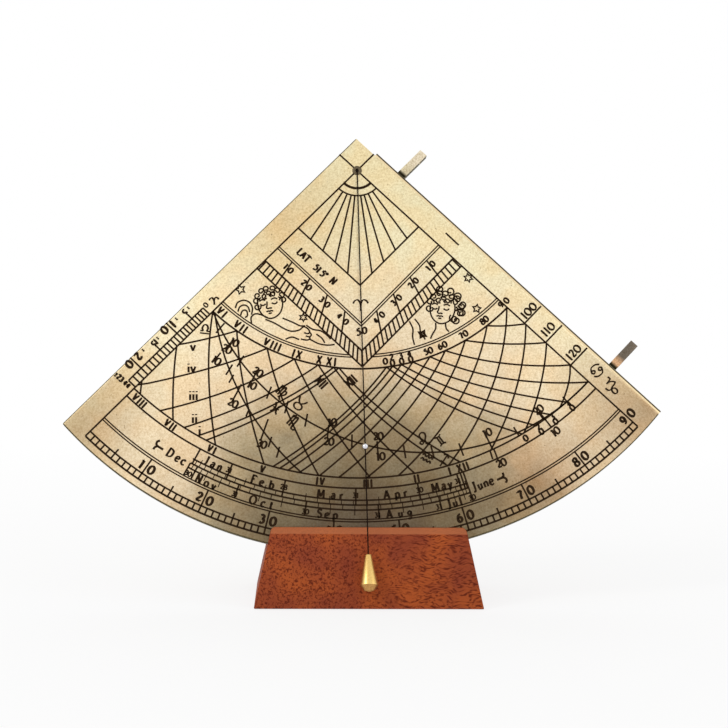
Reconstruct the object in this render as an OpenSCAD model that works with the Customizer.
// Gunter quadrant on a small wooden stand.
// A quarter-circle brass plate leans back in a slot sawn across the stand. A rail along its
// upper right edge carries two sights, and a plumb line hangs over its face from the hole
// at the centre of the scales. Millimetres, Z up; the origin is the middle of the
// stand's underside, X runs to the right and the front faces -Y.

/* [Plate] */
// Radius of the plate's curved edge, from the line hole
plate_r = 142.8; // [120:0.1:170]
// Brass left outside each of the two straight axes
margin_w = 9.1; // [8.5:0.1:12]
// Thickness of the brass plate
plate_t = 3; // [2.6:0.1:4]
// Angle by which the plate, its slot and the stand's front face lean back
lean = 16; // [12:0.5:20]
// How far the plate is turned in its slot, anticlockwise as seen from the front
plate_turn = 1.4; // [-2:0.1:2]
// How far the line hole stands off the middle of the slot, to the right
plate_slide = -4; // [-6:0.5:6]

/* [Engraving] */
// Width of an engraved line
engraved_w = 0.5; // [0.3:0.05:0.6]
// Depth of an engraved line
engraved_depth = 0.15; // [0.1:0.05:0.3]
// Brass left between the degree scale and the curved edge
rim_w = 2.8; // [2:0.1:5]
// Width of the one-degree cells
degree_cell_w = 2.4; // [1.5:0.1:3]
// Radius of the tropic arc, where the hour and azimuth lines end
tropic_r = 115.9; // [100:0.1:118]
// Side of the shadow square, to the inside of its cells
shadow_side = 49; // [40:0.1:52]
// Width of the shadow square's cells
shadow_cell_w = 4.2; // [3:0.1:5]
// Number of cells along each side of the shadow square
shadow_cells = 25; // [10:1:30]
// How far behind the line hole the rulings between those cells would meet
ruling_back = 7.8; // [0:0.1:12]
// How far to the side of it they would meet
ruling_aside = 1.4; // [0:0.1:3]

/* [Sights] */
// Thickness of the rail behind the plate
rail_t = 4; // [3.8:0.1:5]
// Width of the rail
rail_w = 8; // [7.6:0.1:10]
// How far the rail stands past the plate's straight edge
rail_proud = 2; // [1.5:0.1:2.2]
// Where the upper sight stands along the edge, from the line hole
upper_sight_at = 12.2; // [8:0.1:20]
// Distance of the lower sight from the edge's far corner
lower_sight_back = 23.9; // [20:0.1:60]
// Height of a sight above the rail
sight_h = 12.7; // [10:0.1:18]
// Width of a sight along the rail
sight_w = 3.2; // [2.6:0.1:5]
// Thickness of a sight, front to back
sight_t = 3; // [2.4:0.1:3.6]
// Diameter of the round tenon under each sight
tenon_d = 1.8; // [1.4:0.1:2.2]
// Length of that tenon
tenon_l = 2.4; // [1.5:0.1:2.6]
// Diameter of the hole that is looked through
pinhole_d = 1; // [0.6:0.1:1.6]
// Height of that hole above the rail
pinhole_at = 9; // [4:0.1:9]

/* [Rail screws] */
// Diameter of a rail screw's shank
screw_d = 2; // [1.6:0.1:2.2]
// Diameter of its head
screw_head_d = 3.6; // [3.2:0.1:4]
// Thickness of its head
screw_head_t = 1.3; // [1:0.1:1.6]
// How deep a screw goes into the plate
screw_bite = 1.9; // [1:0.1:2]
// Width and depth of the slot in its head
screw_slot = 0.5; // [0.3:0.1:0.7]
// Distance along the rail from a sight to the screw beside it
screw_off = 10; // [6:0.5:12]

/* [Line eyelet] */
// Diameter of the eyelet's barrel
eyelet_d = 2.4; // [2.1:0.1:3]
// Diameter of its two flanges
eyelet_flange_d = 3.6; // [3.4:0.1:5]
// Thickness of a flange
eyelet_flange_t = 0.35; // [0.2:0.05:0.5]
// Diameter of the hole through it
eyelet_bore = 1; // [0.8:0.1:1.4]

/* [Plumb line] */
// Diameter of the thread
line_d = 0.5; // [0.3:0.05:0.6]
// Diameter of the knot behind the plate
line_knot_d = 2; // [1.6:0.1:2.6]
// Diameter of the bead
bead_d = 2.3; // [1.8:0.1:3]
// Distance of the bead from the hole, down the line
bead_at = 105.5; // [60:0.5:125]

/* [Plumb bob] */
// Distance of the bob's top from the hole, down the line
bob_at = 144; // [140:0.1:145]
// Length of the bob
bob_l = 12.6; // [11:0.1:14]
// Diameter of its top
bob_top_d = 2.4; // [2:0.1:4]
// Diameter where it is widest
bob_d = 6.5; // [5:0.1:6.6]
// Diameter of its flat bottom
bob_bottom_d = 3.4; // [2.8:0.1:4.5]
// Length of the short cone under the widest place
bob_tip_l = 2.1; // [2:0.1:4]
// Diameter of the knot in its bottom
bob_knot_d = 1.5; // [1.2:0.1:1.7]

/* [Stand] */
// Width of the stand at its foot
stand_w = 80; // [72:1:100]
// Depth of the stand at its foot
stand_d = 52; // [46:1:70]
// Height of the stand
stand_h = 27; // [24:0.5:36]
// Lean of the two ends and the back, inwards
side_lean = 12; // [6:0.5:16]
// Width of the bevel along the top's front and back
stand_bevel = 2; // [1:0.1:2.5]
// Width of the bevel along its two ends
end_bevel = 0.8; // [0.4:0.1:2]
// Wood left in front of the plate
lip_t = 3.2; // [3:0.1:3.3]
// Depth of the slot, measured down the plate
slot_depth = 9.4; // [7:0.1:12]

/* [Clearances] */
// Gap between the plate and each wall of the slot
slot_gap = 0.2; // [0.1:0.05:0.4]
// Gap between the plate's lowest point and the slot's floor
floor_gap = 0.15; // [0.1:0.05:0.5]
// Radial gap round a screw, a tenon and the eyelet's barrel
fit_gap = 0.03; // [0.01:0.01:0.06]
// Radial gap between the thread and what slides on it
thread_gap = 0.08; // [0.06:0.01:0.1]

/* [Hidden] */

// Facets round the plate's edge, round small turned parts and round the thread
plate_fn = 240;
turned_fn = 48;
thread_sides = 8;
// Extra length of a cutter past the face it opens
past = 1;

// The front face at its foot, and where it would meet the top without the bevel
front_foot_y = -stand_d / 2;
front_top_y = front_foot_y + stand_h * tan(lean);
// Where the plate's front face passes the stand's top
slot_y = front_top_y + lip_t / cos(lean);
// The line hole, in the plate's front face
hole_y = slot_y + (plate_r - slot_depth) * sin(lean);
hole_z = stand_h + (plate_r - slot_depth) * cos(lean);

// Length of a straight edge, from the line hole to the corner
edge_l = sqrt(pow(plate_r, 2) - pow(margin_w, 2));
lower_sight_at = edge_l - lower_sight_back;

// The degree scale's outer circle, and the arcs inside it
scale_r = plate_r - rim_w;
cell_r = scale_r - degree_cell_w;
// A polar projection puts the equator at this share of the tropic, for the sun's 23.5 degrees
equator_r = tropic_r / tan(45 + 23.5 / 2);
// Bands of numerals outside the tropic, inside the equator, and inside the degree scale
tropic_band = 3.7;
equator_band = 5.1;
degree_band = 6.1;
double_gap = 1;
// The rail's outer face and its back, in the edge frame
rail_u = -margin_w - rail_proud;
rail_back = -plate_t - rail_t;
// Middle of the rail's width and of its thickness
rail_mid_u = rail_u + rail_w / 2;
rail_mid_z = -plate_t - rail_t / 2;
// The screws: one below the upper sight, one halfway and one on each side of the lower sight
screw_at = [upper_sight_at + screw_off, (upper_sight_at + lower_sight_at) / 2,
            lower_sight_at - screw_off, lower_sight_at + screw_off];
// Extra depth of a hole past the end of what goes in it
hole_spare = 0.2;
head_gap = 0.1;

// The line's way from the knot behind the plate to the knot in the bob: distance down
// the plate from the hole, and distance out of the plate's front face
line_route = [[0, -3.6], [0, -3], [0, -2], [0, -1], [0, 0], [0, 0.3], [0.05, 0.6], [0.2, 0.9],
              [0.4, 1.1], [0.7, 1.25], [1, 1.3], [5, 1.44], [11, 1.66], [21, 2.02], [31, 2.38],
              [41, 2.74], [51, 3.1], [61, 3.46], [71, 3.82], [81, 4.18], [91, 4.54], [101, 4.9],
              [111, 5.26], [121, 5.62], [131, 5.98], [141, 6.34], [151, 6.7], [155, 6.844]];
// Where the straight stretch starts, and its slope away from the plate
straight = line_route[10];
line_slope = 0.036;
line_tilt = atan(line_slope);

function on_line(s) = straight[1] + (s - straight[0]) * line_slope;
function line_point(p) = [0, -p[0], p[1]];
function direction(i) =
    let (a = line_point(line_route[max(i - 1, 0)]),
         b = line_point(line_route[min(i + 1, len(line_route) - 1)]))
    (b - a) / norm(b - a);
function ring(i) =
    let (d = direction(i), side = [1, 0, 0], up = cross(d, side))
    [for (k = [0:thread_sides - 1])
        let (a = 360 * (k + 0.5) / thread_sides)
        line_point(line_route[i]) + line_d / 2 * (cos(a) * side + sin(a) * up)];

// Frame of the slot: X along it, Y up its slope, Z out of its front, level with the line hole
module in_slot_frame() {
    translate([0, hole_y, hole_z])
        rotate([90 - lean, 0, 0])
            children();
}

// Frame of the plate: X right, Y up the plate, Z out of its front, origin at the line hole
module in_plate_frame() {
    in_slot_frame()
        translate([plate_slide, 0, 0])
            rotate(plate_turn)
                children();
}

// Frame of the straight edges: X down the left edge, Y down the right edge
module in_edge_frame() {
    in_plate_frame()
        rotate([0, 0, 225])
            children();
}

// Frame of a piece on the line, s down it from the hole, with Z up the line
module on_the_line(s) {
    in_plate_frame()
        translate([0, -s, on_line(s)])
            rotate([-90 - line_tilt, 0, 0])
                children();
}

// One block of wood: leaning front, back and ends, a bevelled top and the plate's slot
module wooden_stand() {
    back_top_y = stand_d / 2 - stand_h * tan(side_lean);
    side_top_x = stand_w / 2 - stand_h * tan(side_lean);
    bevel_z = stand_h - stand_bevel;
    end_bevel_z = stand_h - end_bevel;
    color("#a04e2c")
        difference() {
            intersection() {
                translate([-stand_w / 2, 0, 0])
                    rotate([90, 0, 90])
                        linear_extrude(stand_w)
                            polygon([[front_foot_y, 0], [stand_d / 2, 0],
                                     [back_top_y + stand_bevel * tan(side_lean), bevel_z],
                                     [back_top_y - stand_bevel, stand_h],
                                     [front_top_y + stand_bevel, stand_h],
                                     [front_top_y - stand_bevel * tan(lean), bevel_z]]);
                translate([0, stand_d / 2, 0])
                    rotate([90, 0, 0])
                        linear_extrude(stand_d)
                            polygon([[-stand_w / 2, 0], [stand_w / 2, 0],
                                     [side_top_x + end_bevel * tan(side_lean), end_bevel_z],
                                     [side_top_x - end_bevel, stand_h],
                                     [end_bevel - side_top_x, stand_h],
                                     [-side_top_x - end_bevel * tan(side_lean), end_bevel_z]]);
            }
            in_slot_frame()
                translate([-stand_w, -plate_r - floor_gap, -plate_t - slot_gap])
                    cube([2 * stand_w, slot_depth + stand_h, plate_t + 2 * slot_gap]);
        }
}

// Outline of an engraved circle of radius r, in the plate's plane
module ring_line(r) {
    difference() {
        circle(r = r + engraved_w / 2, $fn = plate_fn);
        circle(r = r - engraved_w / 2, $fn = plate_fn);
    }
}

// Outline of an engraved line from x = a to x = b, w off the middle
module straight_line(a, b, w = 0) {
    translate([a, w - engraved_w / 2])
        square([b - a, engraved_w]);
}

// Line across the shadow square's cells, at a share of the way from the axis to the corner
module cell_ruling(share) {
    reach = shadow_side + ruling_back;
    a = atan(share * (shadow_side + ruling_aside) / reach);
    translate([-ruling_back, -ruling_aside])
        rotate(a)
            straight_line(reach / cos(a), (reach + shadow_cell_w) / cos(a));
}

// The main lines of the face, in the edge frame: circles and cells between the two axes
module face_lines() {
    intersection() {
        union() {
            for (r = [scale_r, cell_r, cell_r - degree_band, cell_r - degree_band - double_gap,
                      tropic_r + tropic_band, tropic_r, equator_r])
                ring_line(r);
        }
        square(plate_r);
    }
    for (a = [1:89])
        rotate(a)
            straight_line(cell_r, scale_r);
    intersection() {
        ring_line(equator_r - equator_band);
        difference() {
            square(plate_r);
            square(shadow_side + shadow_cell_w);
        }
    }
    for (side = [0, 1])
        mirror([side, -side, 0]) {
            straight_line(eyelet_flange_d / 2, scale_r);
            straight_line(0, shadow_side, shadow_side);
            straight_line(0, shadow_side + shadow_cell_w, shadow_side + shadow_cell_w);
            for (k = [1:shadow_cells - 1])
                cell_ruling(k / shadow_cells);
        }
    rotate(45)
        straight_line(shadow_side * sqrt(2), (shadow_side + shadow_cell_w) * sqrt(2));
}

// Quarter-circle of brass with a margin outside its two axes
module quadrant_plate() {
    color("#d8bd8c")
        difference() {
            in_edge_frame()
                translate([0, 0, -plate_t])
                    intersection() {
                        cylinder(r = plate_r, h = plate_t, $fn = plate_fn);
                        translate([-margin_w, -margin_w, 0])
                            cube([plate_r + margin_w, plate_r + margin_w, plate_t]);
                    }
            in_plate_frame()
                translate([0, 0, -plate_t - past])
                    cylinder(d = eyelet_d + 2 * fit_gap, h = plate_t + 2 * past, $fn = turned_fn);
            at_screws()
                translate([0, 0, -plate_t - past])
                    cylinder(d = screw_d + 2 * fit_gap, h = screw_bite + hole_spare + past,
                             $fn = turned_fn);
            in_edge_frame()
                translate([0, 0, -engraved_depth])
                    linear_extrude(engraved_depth + past)
                        face_lines();
        }
}

// Puts its children at each rail screw, in the edge frame
module at_screws() {
    in_edge_frame()
        for (v = screw_at)
            translate([rail_mid_u, v, 0])
                children();
}

// Bar behind the right edge, from the axis to the corner
module sight_rail() {
    color("#cbb07c")
        difference() {
            in_edge_frame()
                translate([rail_u, 0, rail_back])
                    cube([rail_w, edge_l, rail_t]);
            at_screws() {
                translate([0, 0, rail_back - past])
                    cylinder(d = screw_d + 2 * fit_gap, h = rail_t + 2 * past, $fn = turned_fn);
                translate([0, 0, rail_back - past])
                    cylinder(d = screw_head_d + 2 * head_gap, h = screw_head_t + past,
                             $fn = turned_fn);
            }
            in_edge_frame()
                for (v = [upper_sight_at, lower_sight_at])
                    translate([rail_u - past, v, rail_mid_z])
                        rotate([0, 90, 0])
                            cylinder(d = tenon_d + 2 * fit_gap,
                                     h = past + tenon_l + hole_spare, $fn = turned_fn);
        }
}

// Four slotted screws that hold the rail from behind, with heads flush in its back
module rail_screws() {
    color("#b8975a")
        at_screws()
            translate([0, 0, rail_back])
                difference() {
                    union() {
                        cylinder(d = screw_head_d, h = screw_head_t, $fn = turned_fn);
                        cylinder(d = screw_d, h = rail_t + screw_bite, $fn = turned_fn);
                    }
                    translate([-screw_head_d / 2 - past, -screw_slot / 2, -past])
                        cube([screw_head_d + 2 * past, screw_slot, screw_slot + past]);
                }
}

// Square post on a round tenon, with a pinhole along the rail, v along the edge
module sight(v) {
    color("#e2cf9f")
        in_edge_frame()
            translate([rail_u, v, rail_mid_z])
                difference() {
                    union() {
                        translate([-sight_h, -sight_w / 2, -sight_t / 2])
                            cube([sight_h, sight_w, sight_t]);
                        translate([-sight_w / 2, 0, 0])
                            rotate([0, 90, 0])
                                cylinder(d = tenon_d, h = tenon_l + sight_w / 2,
                                         $fn = turned_fn);
                    }
                    translate([-pinhole_at, sight_w, 0])
                        rotate([90, 0, 0])
                            cylinder(d = pinhole_d, h = 2 * sight_w, $fn = turned_fn);
                }
}

module upper_sight() {
    sight(upper_sight_at);
}

module lower_sight() {
    sight(lower_sight_at);
}

// Turned lining of the line hole, spread over both faces of the plate
module line_eyelet() {
    color("#8d8778")
        in_plate_frame()
            rotate_extrude($fn = turned_fn)
                polygon([[eyelet_bore / 2, -plate_t - eyelet_flange_t],
                         [eyelet_flange_d / 2, -plate_t - eyelet_flange_t],
                         [eyelet_flange_d / 2, -plate_t],
                         [eyelet_d / 2, -plate_t],
                         [eyelet_d / 2, 0],
                         [eyelet_flange_d / 2, 0],
                         [eyelet_flange_d / 2, eyelet_flange_t / 2],
                         [eyelet_bore / 2 + eyelet_flange_t, eyelet_flange_t],
                         [eyelet_bore / 2, eyelet_flange_t / 2]]);
}

// Thread from the knot behind the plate, through the eyelet and the bead, into the bob
module plumb_line() {
    n = len(line_route);
    last = thread_sides * (n - 1);
    color("#4a3524")
        in_plate_frame()
            polyhedron(
                points = [for (i = [0:n - 1]) each ring(i)],
                faces = concat(
                    [[for (k = [0:thread_sides - 1]) k]],
                    [for (i = [0:n - 2]) for (k = [0:thread_sides - 1])
                        let (a = thread_sides * i + k,
                             b = thread_sides * i + (k + 1) % thread_sides)
                        each [[a, a + thread_sides, b], [b, a + thread_sides, b + thread_sides]]],
                    [[for (k = [thread_sides - 1:-1:0]) last + k]]),
                convexity = 4);
}

// Round knot that keeps the thread from pulling out of the eyelet
module line_knot() {
    color("#4a3524")
        in_plate_frame()
            translate([0, 0, line_route[0][1] - line_knot_d / 2 + line_d / 4])
                sphere(d = line_knot_d, $fn = turned_fn);
}

// Small round bead that grips the thread and is set by hand
module line_bead() {
    color("#c9ccd0")
        on_the_line(bead_at)
            difference() {
                sphere(d = bead_d, $fn = turned_fn);
                translate([0, 0, -bead_d])
                    cylinder(d = line_d + 2 * thread_gap, h = 2 * bead_d, $fn = turned_fn);
            }
}

// Turned brass weight, drilled for the thread and counterbored for its knot
module plumb_bob() {
    knot_room = bob_knot_d + line_d;
    color("#e3bf6b")
        on_the_line(bob_at)
            difference() {
                rotate_extrude($fn = turned_fn)
                    polygon([[0, 0], [bob_top_d / 2, 0], [bob_d / 2, bob_tip_l - bob_l],
                             [bob_bottom_d / 2, -bob_l], [0, -bob_l]]);
                translate([0, 0, -bob_l - past])
                    cylinder(d = line_d + 4 * thread_gap, h = bob_l + 2 * past, $fn = turned_fn);
                translate([0, 0, -bob_l - past])
                    cylinder(d = bob_knot_d + 4 * thread_gap, h = knot_room + past,
                             $fn = turned_fn);
            }
}

// Round knot in the counterbore, which carries the bob
module bob_knot() {
    color("#4a3524")
        on_the_line(line_route[len(line_route) - 1][0])
            translate([0, 0, line_d / 4 - bob_knot_d / 2])
                sphere(d = bob_knot_d, $fn = turned_fn);
}

wooden_stand();
quadrant_plate();
sight_rail();
rail_screws();
upper_sight();
lower_sight();
line_eyelet();
plumb_line();
line_knot();
line_bead();
plumb_bob();
bob_knot();
